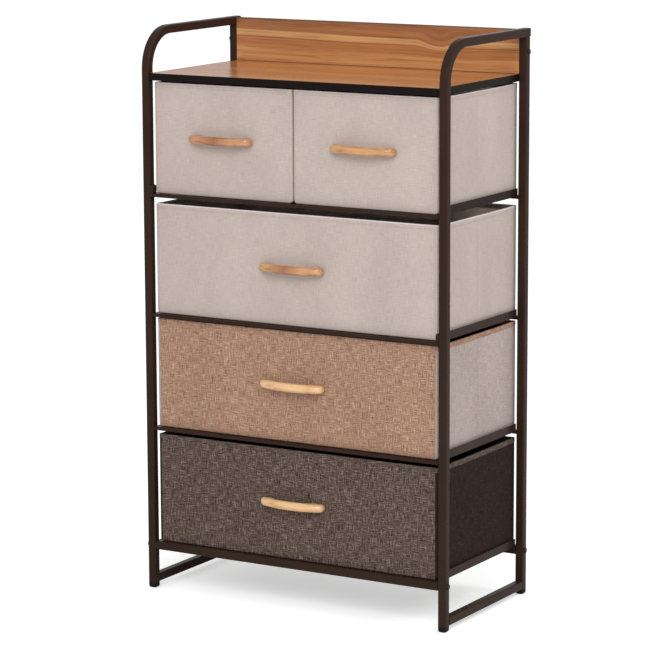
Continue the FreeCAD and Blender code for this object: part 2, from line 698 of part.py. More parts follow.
def base_stiffener(drawer, place, width):
    """The loose board that lies on the drawer's floor."""
    x, y, z = place
    board_width = f"({width} - 2 * Size.drawer_corner)"
    front_space = f"({DRAWER_FRONT_THICKNESS} + Size.fitting_gap)"
    depth = f"({DRAWER_DEPTH} - {front_space} - Size.drawer_wall - Size.fitting_gap)"
    corner = (f"({x} - {board_width} / 2)", f"({y} + {front_space})", f"({z} + Size.drawer_wall)")
    body = board(f"{drawer}_base_board", corner, board_width, depth, "Size.base_board_thickness")
    finish(body.Label, [body])


def bow_handle(drawer, place):
    """A wooden bow: two flat feet on the drawer's front and a bar that arches clear of it."""
    body = new_body(f"{drawer}_handle", place, 180)
    sketch = new_sketch(body, "bow", "XY_Plane")
    half, foot, end = value("Size.handle_length / 2"), value("Size.handle_foot"), value("Size.handle_end")
    gap = half - foot
    outer_rise = "(Size.handle_projection - Size.handle_end)"
    outer = f"(((Size.handle_length / 2) ^ 2 + {outer_rise} ^ 2) / (2 * {outer_rise}))"
    inner_rise = "(Size.handle_projection - Size.handle_thickness)"
    half_gap = "(Size.handle_length / 2 - Size.handle_foot)"
    inner = f"(({half_gap} ^ 2 + {inner_rise} ^ 2) / (2 * {inner_rise}))"
    outer_radius, inner_radius = value(outer), value(inner)
    outer_centre = value("Size.handle_projection") - outer_radius
    inner_centre = value(inner_rise) - inner_radius
    outer_angle = math.degrees(math.asin(half / outer_radius))
    inner_angle = math.degrees(math.asin(gap / inner_radius))
    left_foot = line(sketch, (-half, 0), (-gap, 0))
    inner_arc = arc(sketch, (0, inner_centre), inner_radius, 90 - inner_angle, 90 + inner_angle)
    right_foot = line(sketch, (gap, 0), (half, 0))
    right_end = line(sketch, (half, 0), (half, end))
    outer_arc = arc(sketch, (0, outer_centre), outer_radius, 90 - outer_angle, 90 + outer_angle)
    left_end = line(sketch, (-half, end), (-half, 0))
    constrain(
        sketch,
        ("Coincident", left_foot, 2, inner_arc, 2),
        ("Coincident", inner_arc, 1, right_foot, 1),
        ("Coincident", right_foot, 2, right_end, 1),
        ("Coincident", right_end, 2, outer_arc, 1),
        ("Coincident", outer_arc, 2, left_end, 1),
        ("Coincident", left_end, 2, left_foot, 1),
        ("PointOnObject", left_foot, 1, -1),
        ("PointOnObject", left_foot, 2, -1),
        ("Vertical", right_end),
        ("Symmetric", left_foot, 1, right_foot, 2, -2),
        ("Symmetric", left_foot, 2, right_foot, 1, -2),
        ("Symmetric", left_end, 1, right_end, 2, -2),
    )
    bind(sketch, ("DistanceX", left_foot, 1, right_foot, 2), "Size.handle_length")
    bind(sketch, ("DistanceX", right_foot, 1, right_foot, 2), "Size.handle_foot")
    bind(sketch, ("DistanceY", right_end, 1, right_end, 2), "Size.handle_end")
    bind(sketch, ("Radius", outer_arc), outer)
    bind(sketch, ("Radius", inner_arc), inner)
    bar = pad(body, sketch, "Size.handle_height", both_ways=True)
    round_edges(body, bar, lambda edge: edge.CenterOfMass.y > TOLERANCE, "Size.handle_rounding")
    drill_handle_holes(body, "(Size.handle_screw_reach + Size.fitting_gap)")
    finish(body.Label, [body])


def handle_screws(drawer, place):
    """Two pan-head screws through the front board and the fabric into the handle."""
    x, y, z = place
    screws = []
    for side, sign in (("left", -1), ("right", 1)):
        head_x = f"({x} + {sign} * Size.handle_hole_spacing / 2)"
        head = (head_x, f"({y} + {DRAWER_FRONT_THICKNESS})", z)
        screws.append(headed_fastener(f"{drawer}_{side}_handle_screw", head, -90, ACROSS, HANDLE_SCREW))
    finish(f"{drawer}_handle_screws", screws)


def drawer(name, row, x, width):
    """A whole drawer on a row's crossbars."""
    floor = f"({SUPPORT_Z[row]} + Size.running_gap)"
    place = (x, DRAWER_FRONT_Y, floor)
    handle_place = (x, DRAWER_FRONT_Y, f"({floor} + {HANDLE_RISE})")
    drawer_bin(name, place, width)
    front_stiffener(name, place, width)
    base_stiffener(name, place, width)
    bow_handle(name, handle_place)
    handle_screws(name, handle_place)


def check_and_write():
    """Stop on any failed object, then write each node to its own file."""
    document.recompute()
    for thing in document.Objects:
        if "Invalid" in thing.State or "Error" in thing.State:
            raise RuntimeError(f"{thing.Label} failed: {thing.State}")
    for node, thing in finished.items():
        if thing.Shape.isNull() or not thing.Shape.isValid():
            raise RuntimeError(f"{node} has no valid shape")
    os.makedirs("parts", exist_ok=True)
    for node, thing in finished.items():
        thing.Shape.exportStep(f"parts/{node}.step")
        print(f"{node}: {len(thing.Shape.Solids)} solid(s), {thing.Shape.Volume:.0f} mm3")


for side, sign in (("left", -1), ("right", 1)):
    front_post(side, sign)
    back_post(side, sign)
    floor_rail(side, sign)
for row in ROWS:
    for end in ("front", "back"):
        crossbar(row, end)
    for side, sign in (("left", -1), ("right", 1)):
        side_runner(row, side, sign)
middle_runner("top_row")
finish("corner_brackets", [corner_bracket("top_row", "left"), corner_bracket("second_row", "right")])
shelf()
back_board()
foot_caps()
arm_caps()
threaded_inserts()
low_bolts = (("front", FRONT_POST_Y, LOW_BOLT_Z), ("back", BACK_POST_Y, LOW_BOLT_Z))
sideways_fasteners("frame_bolts", low_bolts, FRAME_BOLT)
sideways_fasteners("backboard_screws", (("back", BACK_POST_Y, BOARD_SCREW_Z),), BOARD_SCREW)
drawer("top_left_drawer", "top_row", f"-{HALF_DRAWER_X}", HALF_DRAWER)
drawer("top_right_drawer", "top_row", HALF_DRAWER_X, HALF_DRAWER)
drawer("second_drawer", "second_row", "0", WIDE_DRAWER)
drawer("third_drawer", "third_row", "0", WIDE_DRAWER)
drawer("bottom_drawer", "bottom_row", "0", WIDE_DRAWER)
check_and_write()
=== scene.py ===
import bmesh
import bpy
import json
import math
from mathutils import Matrix, Vector, noise


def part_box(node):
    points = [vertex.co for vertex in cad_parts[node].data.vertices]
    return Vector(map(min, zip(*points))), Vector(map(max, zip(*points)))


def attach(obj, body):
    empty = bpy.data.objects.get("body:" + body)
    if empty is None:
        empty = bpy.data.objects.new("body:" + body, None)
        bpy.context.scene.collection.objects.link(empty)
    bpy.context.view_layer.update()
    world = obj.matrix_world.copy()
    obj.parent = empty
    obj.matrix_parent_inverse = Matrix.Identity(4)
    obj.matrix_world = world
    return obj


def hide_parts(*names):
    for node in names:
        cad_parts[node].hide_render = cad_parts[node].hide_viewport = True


# A tall dresser with a steel tube frame, a wood-look shelf and upstand, and five fabric drawers.
# Lengths are in metres, as in the frame that is loaded here.

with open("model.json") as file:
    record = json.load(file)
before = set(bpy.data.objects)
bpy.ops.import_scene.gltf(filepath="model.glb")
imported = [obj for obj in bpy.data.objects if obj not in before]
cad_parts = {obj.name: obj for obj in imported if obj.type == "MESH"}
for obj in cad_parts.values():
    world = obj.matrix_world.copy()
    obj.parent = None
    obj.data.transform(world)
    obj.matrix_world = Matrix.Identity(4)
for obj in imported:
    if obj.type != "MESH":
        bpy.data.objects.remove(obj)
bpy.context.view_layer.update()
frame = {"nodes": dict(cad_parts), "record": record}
nodes = frame["nodes"]

MM = 0.001
TINY = 0.02 * MM
AXES = (Vector((1, 0, 0)), Vector((0, 1, 0)), Vector((0, 0, 1)))

# Cloth of the drawers
CLOTH_THICKNESS = 3 * MM
BOTTOM_CORNER = 6 * MM        # round bottom edges along the drawer's depth
FRONT_EDGE = 2.5 * MM         # softness of the edges round the front and the back
CLOTH_GRID = 13 * MM          # spacing of the cuts that let the cloth bend
BORDER = 1.7 * MM             # side cloth that comes round to the front
SEAM_HALF = 0.6 * MM
SEAM_DEPTH = 0.6 * MM
HEM_HEIGHT = 8 * MM
HEM_PROUD = 0.45 * MM
HEM_CORNER = 3.2 * MM
HEM_SOFTNESS = 0.8 * MM
FOLD_LINE = 1.5 * MM          # rim to where the hem cloth bends over
STITCH_DROP = 6.6 * MM        # rim to the stitched line
STITCH = (2.4 * MM, 0.5 * MM, 0.5 * MM)
STITCH_PITCH = 3.6 * MM
STITCH_PROUD = 0.08 * MM
STITCH_INSET = 5 * MM         # a row's end to the drawer's corner

# How the cloth hangs: bows and crowns outwards, sags, folds, and how far its free parts reach
FRONT_CROWN = 0.6 * MM
BACK_CROWN = 1.2 * MM
SIDE_BOW = 1.7 * MM
NARROW_BOW = 0.5 * MM         # where two drawers stand side by side
RIM_SAG = 0.9 * MM
FOLD_DEPTH = 0.9 * MM
FOLD_WIDTH = 3.5 * MM
RIPPLE = 0.7 * MM
SIDE_REACH = 14 * MM          # from a side inwards
END_REACH = 8 * MM            # from the front or back inwards
FOLD_CUTS = (-5.5, -3.5, -1.8, 0, 1.8, 3.5, 5.5)

# Handles
HANDLE_STATION = 5 * MM       # spacing of the cuts along the bow
HANDLE_TIP = 7.5 * MM         # end to the first cut
HANDLE_FOOT = 15 * MM
HANDLE_SHOULDER = 22 * MM     # from the foot to the free bar
HANDLE_END_REACH = 13 * MM
HANDLE_BAR = 12.5 * MM        # thickness of the free bar
HANDLE_SOFTNESS = 6 * MM

LAMP_AIM = Vector((0, 0, 0.5))


# ---------------------------------------------------------------- camera, floor and lamps


def place_camera():
    """A long lens that looks at the front from the right and a little from above."""
    yaw, pitch, roll = (math.radians(degrees) for degrees in (30.805, 10.124, -0.238))
    distance, aside, height = 5.2886, -0.0189, 0.4827
    flat = math.cos(pitch)
    back = Vector((math.sin(yaw) * flat, -math.cos(yaw) * flat, math.sin(pitch)))
    level = Vector((math.cos(yaw), math.sin(yaw), 0))
    upright = back.cross(level)
    right = level * math.cos(roll) + upright * math.sin(roll)
    up = upright * math.cos(roll) - level * math.sin(roll)
    lens = bpy.data.cameras.new("camera")
    lens.sensor_width = 36
    lens.lens = 169.52
    lens.clip_end = 200
    camera = bpy.data.objects.new("camera", lens)
    place = Vector((0, 0, height)) + level * aside + back * distance
    turn = Matrix((right, up, back)).transposed().to_4x4()
    camera.matrix_world = Matrix.Translation(place) @ turn
    bpy.context.collection.objects.link(camera)
    bpy.context.scene.camera = camera


def add_lamp(name, place, size, power):
    """A square soft lamp that points at the dresser's middle."""
    light = bpy.data.lights.new(name, "AREA")
    light.shape = "SQUARE"
    light.size = size
    light.energy = power
    lamp = bpy.data.objects.new(name, light)
    turn = (LAMP_AIM - Vector(place)).to_track_quat("-Z", "Y").to_matrix().to_4x4()
    lamp.matrix_world = Matrix.Translation(place) @ turn
    bpy.context.collection.objects.link(lamp)


# ---------------------------------------------------------------- material helpers


def srgb(red, green, blue):
    """A colour given in screen values, as the shader wants it."""
    def linear(level):
        level /= 255
        return level / 12.92 if level <= 0.04045 else ((level + 0.055) / 1.055) ** 2.4
    return (linear(red), linear(green), linear(blue), 1)


def times(colour, factor):
    return tuple(channel * factor for channel in colour[:3]) + (1,)


def node(tree, kind, inputs=None, **settings):
    """A shader node; an input takes a number, a colour or another node's output."""
    made = tree.nodes.new("ShaderNode" + kind)
    for key, setting in settings.items():
        setattr(made, key, setting)
    for key, source in (inputs or {}).items():
        if isinstance(source, bpy.types.NodeSocket):
            tree.links.new(source, made.inputs[key])
        else:
            made.inputs[key].default_value = source
    return made


def new_material(name, **constants):
    """A material with one Principled shader; constants are socket names with _ for spaces."""
    made = bpy.data.materials.new(name)
    made.use_nodes = True
    shader = made.node_tree.nodes["Principled BSDF"]
    for key, constant in constants.items():
        shader.inputs[key.replace("_", " ")].default_value = constant
    return made, made.node_tree, shader


def ramp(tree, factor, stops):
    """A colour ramp; stops are (place, colour)."""
    made = node(tree, "ValToRGB", {"Fac": factor})
    elements = made.color_ramp.elements
    while len(elements) < len(stops):
        elements.new(0.5)
    for element, (place, colour) in zip(elements, stops):
        element.position = place
        element.color = colour
    return made.outputs["Color"]


def grey(level):
    return (level, level, level, 1)


def arithmetic(tree, operation, first, second=0.5):
    return node(tree, "Math", {0: first, 1: second}, operation=operation).outputs[0]


def remap(tree, value, low, high, to_low, to_high):
    inputs = {0: value, 1: low, 2: high, 3: to_low, 4: to_high}
    return node(tree, "MapRange", inputs).outputs[0]


def mix_colours(tree, kind, factor, first, second):
    made = node(tree, "Mix", {0: factor, 6: first, 7: second}, data_type="RGBA", blend_type=kind)
    return made.outputs[2]


def coordinates(tree, kind="Object"):
    return node(tree, "TexCoord").outputs[kind]


def stretched(tree, vector, scale, place=(0, 0, 0)):
    return node(tree, "Mapping", {"Vector": vector, "Scale": scale, "Location": place}).outputs[0]


def noise_value(tree, vector, scale=1.0, detail=2.0, roughness=0.5):
    inputs = {"Vector": vector, "Scale": scale, "Detail": detail, "Roughness": roughness}
    return node(tree, "TexNoise", inputs).outputs[0]


def bump(tree, shader, height, depth, strength=1.0):
    made = node(tree, "Bump", {"Height": height, "Distance": depth, "Strength": strength})
    tree.links.new(made.outputs[0], shader.inputs["Normal"])


# ---------------------------------------------------------------- finishes


def powder_coat(name, colour, roughness):
    """Powder coat on steel: a fine orange peel and slightly uneven gloss."""
    made, tree, shader = new_material(name, Specular_IOR_Level=0.08)
    place = coordinates(tree)
    cloudy = noise_value(tree, place, 9, 3)
    tone = ramp(tree, cloudy, [(0.3, times(colour, 0.88)), (0.7, times(colour, 1.14))])
    tree.links.new(tone, shader.inputs["Base Color"])
    patches = noise_value(tree, place, 60, 4)
    gloss = remap(tree, patches, 0.3, 0.7, roughness - 0.05, roughness + 0.07)
    tree.links.new(gloss, shader.inputs["Roughness"])
    bump(tree, shader, noise_value(tree, place, 900, 2), 0.06 * MM)
    return made


def signed_square(tree, value):
    """How far a noise is from its middle, so that only its strong places count."""
    off = arithmetic(tree, "SUBTRACT", value, 0.5)
    return arithmetic(tree, "MULTIPLY", off, arithmetic(tree, "ABSOLUTE", off))


def linen(name, dull, mean, bright, reach, place):
    """Heathered plain weave: thin slubs that cross, and specks, each lighter or darker."""
    made, tree, shader = new_material(name, Roughness=0.9, Specular_IOR_Level=0.12)
    flat = stretched(tree, coordinates(tree, "UV"), (1, 1, 1), place)
    weft = noise_value(tree, stretched(tree, flat, (62, 820, 1)), detail=1)
    warp = noise_value(tree, stretched(tree, flat, (820, 62, 1), (7, 3, 0)), detail=1)
    crossing = arithmetic(tree, "ADD", signed_square(tree, weft), signed_square(tree, warp))
    specks = noise_value(tree, stretched(tree, flat, (640, 640, 1), (2, 9, 0)), detail=0)
    speckled = arithmetic(tree, "MULTIPLY", signed_square(tree, specks), 0.5)
    crossing = arithmetic(tree, "ADD", crossing, speckled)
    slubs = remap(tree, crossing, -reach, reach, 0, 1)
    heather = ramp(tree, slubs, [(0, dull), (0.5, mean), (1, bright)])
    # A slow cloudiness of the dye.
    cloudy = noise_value(tree, stretched(tree, flat, (14, 6, 1)), detail=3)
    shade = ramp(tree, cloudy, [(0.3, grey(0.93)), (0.7, grey(1.04))])
    tree.links.new(mix_colours(tree, "MULTIPLY", 1.0, heather, shade), shader.inputs["Base Color"])
    # Single threads, one to the millimetre.
    waves = {"Vector": flat, "Scale": 320, "Distortion": 1.2, "Detail": 1, "Detail Scale": 2}
    weave_x = node(tree, "TexWave", waves, bands_direction="X").outputs[1]
    weave_y = node(tree, "TexWave", waves, bands_direction="Y").outputs[1]
    threads = arithmetic(tree, "MULTIPLY", arithmetic(tree, "MAXIMUM", weave_x, weave_y), 0.5)
    bump(tree, shader, arithmetic(tree, "ADD", threads, slubs), 0.25 * MM, 0.6)
    return made


def smooth_cloth(name, colour, thin=None):
    """Pressed fibre cloth; between two places along X it gets thin enough to let daylight in."""
    made, tree, shader = new_material(
        name, Roughness=0.92, Specular_IOR_Level=0.1,
        Subsurface_Radius=(1, 1, 1), Subsurface_Scale=9 * MM,
    )
    if thin:
        aside = node(tree, "SeparateXYZ", {0: coordinates(tree)}).outputs[0]
        tree.links.new(remap(tree, aside, *thin, 0, 1), shader.inputs["Subsurface Weight"])
    fibres = noise_value(tree, coordinates(tree), 420, 4, 0.7)
    tone = ramp(tree, fibres, [(0.25, times(colour, 0.86)), (0.75, times(colour, 1.08))])
    tree.links.new(tone, shader.inputs["Base Color"])
    dimples = node(tree, "TexVoronoi", {"Vector": coordinates(tree), "Scale": 380}).outputs[0]
    bump(tree, shader, arithmetic(tree, "ADD", fibres, dimples), 0.15 * MM, 0.6)
    return made


def thread(name, colour):
    """Twisted sewing thread."""
    made, tree, shader = new_material(name, Roughness=0.6, Sheen_Weight=0.2)
    twist = noise_value(tree, coordinates(tree), 2500, 2)
    tone = ramp(tree, twist, [(0.3, times(colour, 0.8)), (0.7, times(colour, 1.1))])
    tree.links.new(tone, shader.inputs["Base Color"])
    return made


def grain_lines(tree, where, along, across, wander, seed, knot=None):
    """Coordinates whose lines run along a board, wander a little and bend round a knot."""
    drift = noise_value(tree, stretched(tree, where, (2.6 * along, 3, 9 * across), seed), detail=2)
    lift = arithmetic(tree, "MULTIPLY", arithmetic(tree, "SUBTRACT", drift, 0.5), wander)
    rise = lift
    if knot:
        middle, reach, bend = knot
        offset = node(tree, "VectorMath", {0: where, 1: middle}, operation="SUBTRACT").outputs[0]
        near = node(tree, "VectorMath", {0: offset, 1: reach}, operation="MULTIPLY").outputs[0]
        away = node(tree, "VectorMath", {0: near}, operation="LENGTH").outputs[1]
        inputs = {0: away, 1: 0, 2: 1, 3: bend, 4: 0}
        bulge = node(tree, "MapRange", inputs, interpolation_type="SMOOTHERSTEP").outputs[0]
        rise = arithmetic(tree, "ADD", lift, bulge)
    shift = node(tree, "CombineXYZ", {"Y": lift, "Z": rise}).outputs[0]
    return node(tree, "VectorMath", {0: where, 1: shift}, operation="ADD").outputs[0]


DARK_GRAIN = (0.66, 0.58, 0.52, 1)
LIGHT_GRAIN = (1.14, 1.12, 1.1, 1)
# Darker lines at both ends across a board; at the seam where the upstand meets the shelf they are
# painted shade.
EDGE_LINES_AND_SEAM_SHADE = [(0.006, grey(0.3)), (0.014, grey(1)), (0.982, grey(1)), (0.99, grey(0.25))]


def board_laminate(name, stops, axis, start, span, roughness, seed, knot=None):
    """Printed wood on a board: wide bands across it, streaks and pores along it, darker lines at
    its edges, painted shade where the boards meet.
    """
    made, tree, shader = new_material(name, Specular_IOR_Level=0.45)
    where = grain_lines(tree, coordinates(tree), 1, 1, 0.016, seed, knot)

    def share(vector):
        across = node(tree, "SeparateXYZ", {0: vector}).outputs[axis]
        return arithmetic(tree, "MULTIPLY", arithmetic(tree, "SUBTRACT", across, start), 1 / span)

    bands = ramp(tree, share(where), stops)
    drawn_out = stretched(tree, where, (4, 190, 190), seed)
    streaky = noise_value(tree, drawn_out, detail=5, roughness=0.7)
    streaks = ramp(tree, streaky, [(0.32, DARK_GRAIN), (0.5, grey(0.98)), (0.66, LIGHT_GRAIN)])
    fine = stretched(tree, where, (11, 520, 520), seed)
    pores = noise_value(tree, fine, detail=2, roughness=0.6)
    marks = ramp(tree, pores, [(0.3, DARK_GRAIN), (0.46, grey(1.0))])
    # Darker lines at both ends across the board, painted shade at the seam between upstand and
    # shelf.
    edges = ramp(tree, share(coordinates(tree)), EDGE_LINES_AND_SEAM_SHADE)
    colour = mix_colours(tree, "MULTIPLY", 0.85, bands, streaks)
    colour = mix_colours(tree, "MULTIPLY", 0.75, colour, marks)
    tree.links.new(mix_colours(tree, "MULTIPLY", 1.0, colour, edges), shader.inputs["Base Color"])
    gloss = remap(tree, streaky, 0.3, 0.7, roughness + 0.06, roughness - 0.02)
    tree.links.new(gloss, shader.inputs["Roughness"])
    bump(tree, shader, pores, 0.05 * MM, 0.5)
    return made


def handle_wood(name, pale, honey, deep, middle, patch):
    """Lacquered wood along X, with a darker patch of grain at a place along the handle."""
    made, tree, shader = new_material(name, Coat_Weight=1.0, Coat_Roughness=0.1)
    offset = stretched(tree, coordinates(tree), (1, 1, 1), [-value for value in middle])
    where = grain_lines(tree, offset, 6, 4, 0.004, (middle[0] * 9, 0, middle[2] * 7))
    drawn_out = stretched(tree, where, (16, 170, 230), middle)
    streaky = noise_value(tree, drawn_out, detail=5, roughness=0.6)
    grain = ramp(tree, streaky, [(0.3, deep), (0.46, honey), (0.66, pale)])
    pores = noise_value(tree, stretched(tree, where, (60, 1400, 1400)), detail=2)
    marks = ramp(tree, pores, [(0.32, (0.84, 0.78, 0.72, 1)), (0.5, grey(1.0))])
    colour = mix_colours(tree, "MULTIPLY", 0.6, grain, marks)
    place, width, strength = patch
    aside = node(tree, "SeparateXYZ", {0: where}).outputs[0]
    away = arithmetic(tree, "ABSOLUTE", arithmetic(tree, "SUBTRACT", aside, place))
    stained = remap(tree, away, 0, width, strength, 0)
    tree.links.new(mix_colours(tree, "MIX", stained, colour, deep), shader.inputs["Base Color"])
    tree.links.new(remap(tree, streaky, 0.3, 0.7, 0.42, 0.3), shader.inputs["Roughness"])
    bump(tree, shader, pores, 0.05 * MM, 0.4)
    return made


def moulded_plastic(name, colour, roughness):
    made, tree, shader = new_material(name, Roughness=roughness, Specular_IOR_Level=0.15)
    texture = noise_value(tree, coordinates(tree), 700, 2)
    tone = ramp(tree, texture, [(0.3, times(colour, 0.8)), (0.7, times(colour, 1.2))])
    tree.links.new(tone, shader.inputs["Base Color"])
    bump(tree, shader, texture, 0.1 * MM)
    return made


def zinc(name):
    made, tree, shader = new_material(name, Metallic=1.0, Roughness=0.35)
    brushed = noise_value(tree, coordinates(tree), 500, 3)
    tone = ramp(tree, brushed, [(0.3, (0.45, 0.46, 0.48, 1)), (0.7, (0.68, 0.69, 0.72, 1))])
    tree.links.new(tone, shader.inputs["Base Color"])
    return made


def corners(name):
    """A CAD node's lowest and highest corner."""
    low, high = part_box(name)
    return Vector(low), Vector(high)


def middle_of(name):
    low, high = corners(name)
    return (low + high) / 2


board_low, board_high = corners("back_board")
shelf_low, shelf_high = corners("shelf_board")
# The printed boards' bands of colour, from the lower or front edge
BACKBOARD_BANDS = [
    (0.0, srgb(188, 128, 76)),
    (0.1, srgb(208, 150, 94)),
    (0.2, srgb(196, 134, 80)),
    (0.28, srgb(206, 146, 90)),
    (0.36, srgb(184, 120, 70)),
    (0.48, srgb(178, 114, 66)),
    (0.525, srgb(186, 124, 74)),
    (0.545, srgb(142, 86, 48)),
    (0.565, srgb(196, 140, 88)),
    (0.6, srgb(210, 158, 104)),
    (0.69, srgb(214, 164, 110)),
    (0.71, srgb(166, 108, 64)),
    (0.8, srgb(176, 118, 72)),
    (0.9, srgb(160, 104, 62)),
    (1.0, srgb(166, 110, 66)),
]
SHELF_BANDS = [
    (0.0, srgb(208, 148, 96)),
    (0.12, srgb(194, 132, 80)),
    (0.3, srgb(182, 118, 68)),
    (0.45, srgb(198, 136, 84)),
    (0.6, srgb(180, 114, 66)),
    (0.8, srgb(194, 130, 78)),
    (1.0, srgb(176, 110, 62)),
]
# A knot's middle, how quickly its bend dies away along each axis, and the bend
KNOT = ((0.13, 0.15, 0.965), (19, 0, 30), 0.012)

BOARD_HEIGHT = board_high.z - board_low.z
SHELF_DEPTH = shelf_high.y - shelf_low.y

# Each weave: its dull, mean and bright colour, how strongly it is heathered, and where on the
# endless cloth it is cut.
WEAVES = {
    "light_linen": (
        "light_beige_linen", (172, 156, 148), (194, 180, 172), (212, 200, 193), 0.12, (0, 0, 0)
    ),
    # A lighter copy of the beige linen for the light drawers' rim top: a painted highlight.
    "light_fold": (
        "beige_linen_painted_rim_highlight", (208, 196, 194), (222, 212, 211), (232, 224, 222), 0.12, (0.5, 0.2, 0)
    ),
    "tan_linen": (
        "tan_heathered_linen",
        (108, 70, 52), (167, 131, 109), (214, 184, 162), 0.074, (0.37, 0.2, 0),
    ),
    "dark_linen": (
        "dark_heathered_linen", (42, 32, 28), (90, 75, 68), (144, 127, 118), 0.05, (0.61, 0.4, 0)
    ),
    "grey_side_linen": (
        "grey_beige_side_linen",
        (150, 134, 129), (180, 165, 160), (202, 190, 185), 0.08, (0.19, 0.1, 0),
    ),
    "dark_side_linen": (
        "dark_brown_side_linen", (28, 17, 13), (46, 32, 27), (72, 56, 50), 0.07, (0.83, 0.7, 0)
    ),
}

frame_steel = powder_coat("dark_brown_powder_coat", srgb(52, 36, 29), 0.22)
shelf_steel = powder_coat("near_black_powder_coat", srgb(24, 18, 17), 0.26)
# A darker copy of the frame's powder coat for the top row's side runners: painted shade.
shaded_runner_steel = powder_coat("runner_coat_with_painted_shade", srgb(38, 25, 18), 0.24)
finishes = {
    "frame_steel": frame_steel,
    "black_plastic": moulded_plastic("black_moulded_plastic", srgb(19, 17, 17), 0.5),
    "dark_fasteners": powder_coat("dark_bolt_finish", srgb(48, 38, 34), 0.3),
}
for slot, (name, dull, mean, bright, reach, place) in WEAVES.items():
    finishes[slot] = linen(name, srgb(*dull), srgb(*mean), srgb(*bright), reach, place)
finishes.update({
    "beige_lining": smooth_cloth("beige_lining", srgb(220, 208, 194), (0.14, 0.25)),
    "black_lining": smooth_cloth("black_lining", srgb(30, 24, 21)),
    "pale_thread": thread("pale_thread", srgb(190, 176, 164)),
    "tan_thread": thread("tan_thread", srgb(150, 112, 90)),
    "dark_thread": thread("dark_thread", srgb(58, 48, 43)),
    "board_wood": board_laminate(
        "upstand_laminate", BACKBOARD_BANDS, 2, board_low.z, BOARD_HEIGHT, 0.34, (0, 0, 0), KNOT
    ),
    "shelf_wood": board_laminate(
        "shelf_laminate", SHELF_BANDS, 1, shelf_low.y, SHELF_DEPTH, 0.2, (3, 1, 2)
    ),
    "stiffener_board": smooth_cloth("covered_stiffener", srgb(190, 180, 165)),
    "bright_screws": zinc("zinc_plate"),
})


# ---------------------------------------------------------------- modelling helpers


def add_block(name, low, high):
    """A block between two corners, alone selected, with its place in its mesh."""
    bpy.ops.object.select_all(action="DESELECT")
    low, high = Vector(low), Vector(high)
    bpy.ops.mesh.primitive_cube_add(size=1, location=(low + high) / 2, scale=high - low)
    bpy.ops.object.transform_apply(location=True, rotation=True, scale=True)
    piece = bpy.context.object
    piece.name = name
    piece.data.name = name
    return piece


def pick(kind, test):
    """Select the faces or edges that pass a test on their middle and their normal or direction."""
    bpy.ops.mesh.select_mode(type=kind)
    bpy.ops.mesh.select_all(action="DESELECT")
    shape = bmesh.from_edit_mesh(bpy.context.object.data)
    shape.normal_update()
    if kind == "FACE":
        for face in shape.faces:
            face.select_set(test(face.calc_center_median(), face.normal))
    else:
        for edge in shape.edges:
            start, end = (corner.co for corner in edge.verts)
            edge.select_set(test((start + end) / 2, (end - start).normalized()))
    bmesh.update_edit_mesh(bpy.context.object.data)


def steps_between(start, end, step):
    """Evenly spaced places strictly between two ends."""
    count = max(1, round((end - start) / step))
    return [start + (end - start) * n / count for n in range(1, count)]


def cut_across(axis, places):
    """Cut the whole piece along planes square to an axis."""
    for place in places:
        bpy.ops.mesh.select_all(action="SELECT")
        bpy.ops.mesh.bisect(plane_co=axis * place, plane_no=axis)


def edit():
    bpy.ops.object.mode_set(mode="EDIT")


def leave():
    bpy.ops.object.mode_set(mode="OBJECT")


def apply_modifier(piece, kind, **settings):
    modifier = piece.modifiers.new(kind.lower(), kind)
    for key, setting in settings.items():
        setattr(modifier, key, setting)
    bpy.ops.object.modifier_apply(modifier=modifier.name)


def smooth(degrees):
    bpy.ops.object.shade_smooth_by_angle(angle=math.radians(degrees))


def lay_cloth(piece):
    """A UV map in metres: each face as it lies on the front, a side or the floor."""
    layer = piece.data.uv_layers.get("UVMap") or piece.data.uv_layers.new(name="UVMap")
    for face in piece.data.polygons:
        across, into, up = (abs(part) for part in face.normal)
        for corner in face.loop_indices:
            x, y, z = piece.data.vertices[piece.data.loops[corner].vertex_index].co
            if into >= across and into >= up:
                flat = (x, z)
            elif across >= up:
                flat = (y + 0.35, z)
            else:
                flat = (x, y + 0.6)
            layer.data[corner].uv = flat


def ride(piece, body, slot):
    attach(piece, body)


def dress(piece, names):
    """Give a piece its finishes, in the order of its slots."""
    piece.data.materials.clear()
    for name in names:
        piece.data.materials.append(finishes[name])


# ---------------------------------------------------------------- drawers


def ease(value):
    """A smooth step from 0 to 1."""
    value = min(max(value, 0), 1)
    return value * value * (3 - 2 * value)


